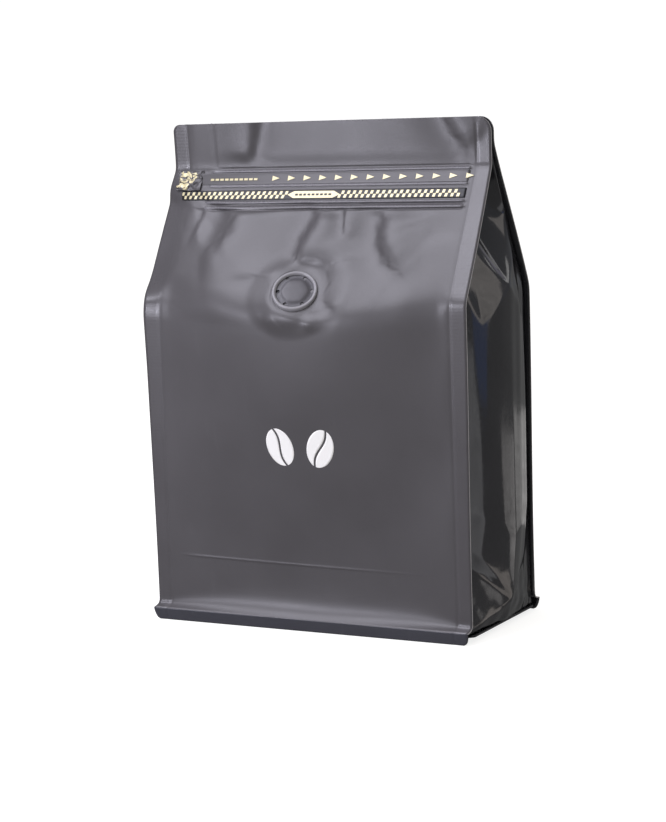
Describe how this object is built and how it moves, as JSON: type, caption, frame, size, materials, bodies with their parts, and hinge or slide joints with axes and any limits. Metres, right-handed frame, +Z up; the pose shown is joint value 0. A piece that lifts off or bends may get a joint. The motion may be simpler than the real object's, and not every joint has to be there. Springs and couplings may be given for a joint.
{
  "type": "coffee bag",
  "caption": "Shut, filled coffee bag with a flat base, sealed side edges, glossy side gussets, a tear strip with a pull tab, and a round one-way valve.",
  "frame": {"origin": "middle of the bag's footprint, on the surface that it stands on", "axes": "+X to the bag's right as seen from the front, -Y out of the front panel, +Z up"},
  "size_m": [0.1408, 0.0729, 0.1837],
  "materials": {
    "matte_film": "matte charcoal film",
    "gloss_film": "glossy black film",
    "gold_print": "pale gold print on the film",
    "valve_plastic": "satin charcoal moulding"
  },
  "bodies": {
    "root": {"front_panel": "matte_film", "back_panel": "matte_film", "bag_body": "gloss_film", "base_panel": "gloss_film", "tear_strip": "matte_film", "zip_rail": "gold_print", "pull_tab": "gold_print", "valve": "valve_plastic"}
  },
  "joints": []
}
